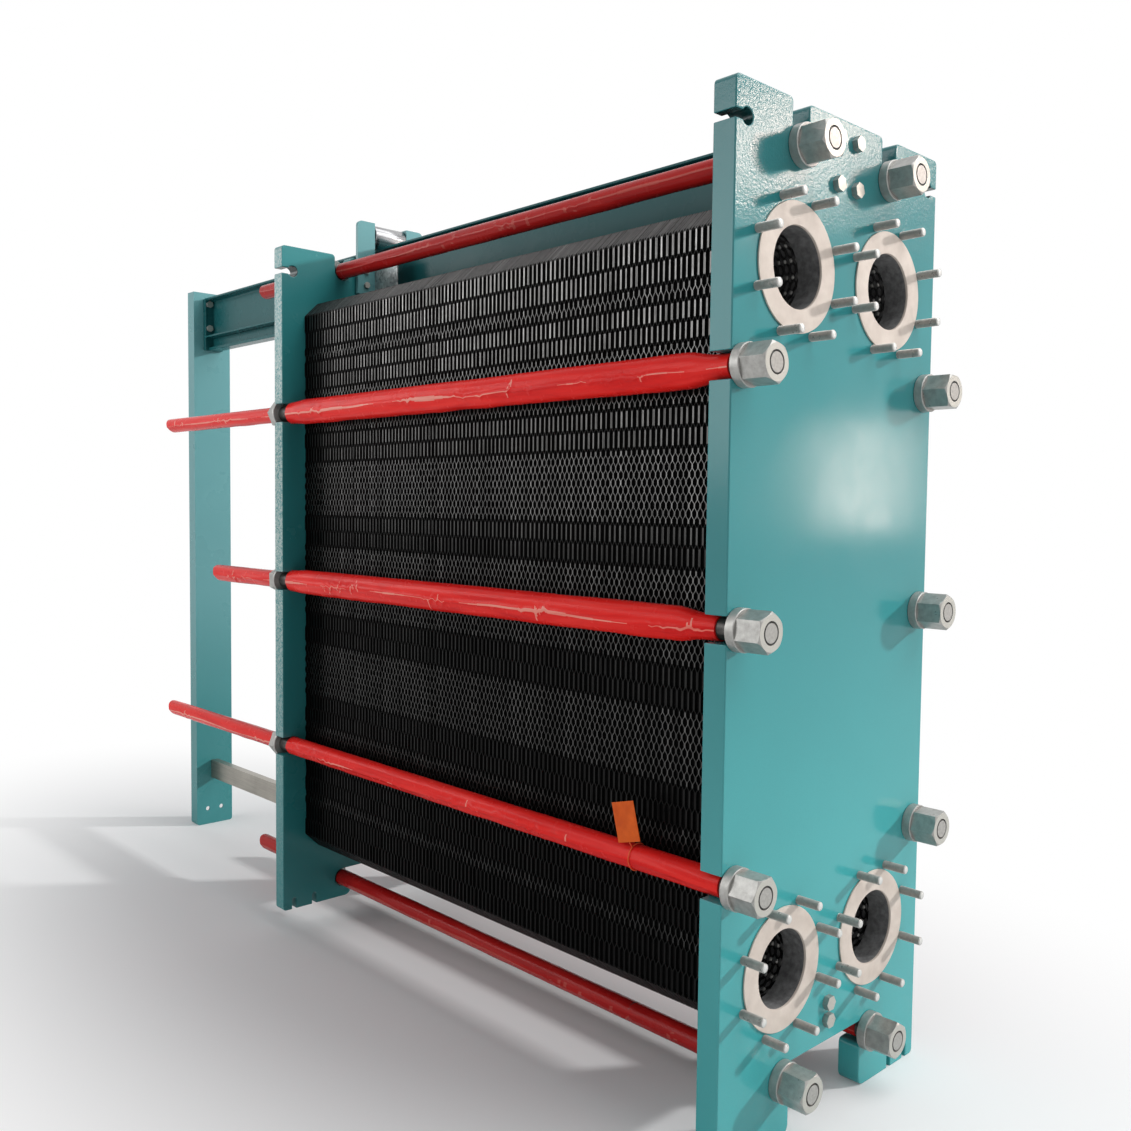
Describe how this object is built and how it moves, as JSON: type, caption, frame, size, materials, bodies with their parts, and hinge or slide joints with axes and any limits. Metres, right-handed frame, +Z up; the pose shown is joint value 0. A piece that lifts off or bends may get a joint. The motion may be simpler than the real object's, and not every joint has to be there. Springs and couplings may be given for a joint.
{
  "type": "plate condenser",
  "caption": "Gasketed plate-and-frame condenser: ported frame plate, tightened plate pack, pressure plate on a carrying bar, guide bar, support column and tie bolts in film sleeves.",
  "frame": {"origin": "on the floor, in the middle of the machine's length and width", "axes": "+X to the right of the ported face, +Y from the ports towards the support column, +Z up"},
  "size_m": [0.796, 3.162, 2.275],
  "materials": {
    "frame_paint": "glossy textured enamel",
    "bar_paint": "glossy enamel",
    "plates": "dark rubber-edged pressed plates",
    "stainless": "brushed stainless steel",
    "liner": "smooth light liner",
    "zinc": "bright zinc plating",
    "bolt_steel": "oiled steel",
    "roller_steel": "polished roller",
    "film": "crinkled glossy film",
    "tag_plastic": "plain plastic"
  },
  "bodies": {
    "root": {"frame_plate": "frame_paint", "pressure_plate": "frame_paint", "plate_pack": "plates", "carrying_bar": "bar_paint", "hanging_rail": "bar_paint", "guide_bar": "stainless", "support_column": "frame_paint", "bar_end_front": "bar_paint", "bar_end_rear": "bar_paint", "front_washers": "zinc", "front_nuts": "zinc", "rear_washers": "zinc", "rear_nuts": "zinc", "hanger_bracket_left": "frame_paint", "hanger_bracket_right": "frame_paint", "slide_angle_left": "zinc", "slide_angle_right": "zinc", "hanger_roller": "roller_steel", "roller_axle": "stainless", "hanger_bolts": "zinc", "bar_bolts_front": "zinc", "bar_bolts_rear": "zinc", "guide_bolts": "zinc", "tag": "tag_plastic", "tag_strap": "tag_plastic", "port_liner_upper_left": "liner", "port_studs_upper_left": "zinc", "port_liner_upper_right": "liner", "port_studs_upper_right": "zinc", "port_liner_lower_left": "liner", "port_studs_lower_left": "zinc", "port_liner_lower_right": "liner", "port_studs_lower_right": "zinc", "tie_bolts_left": "bolt_steel", "front_film_left": "film", "rear_film_left": "film", "tie_bolts_right": "bolt_steel", "front_film_right": "film", "rear_film_right": "film", "tie_bolts_top": "bolt_steel", "front_film_top": "film", "rear_film_top": "film", "tie_bolts_bottom": "bolt_steel", "front_film_bottom": "film", "rear_film_bottom": "film"}
  },
  "joints": []
}
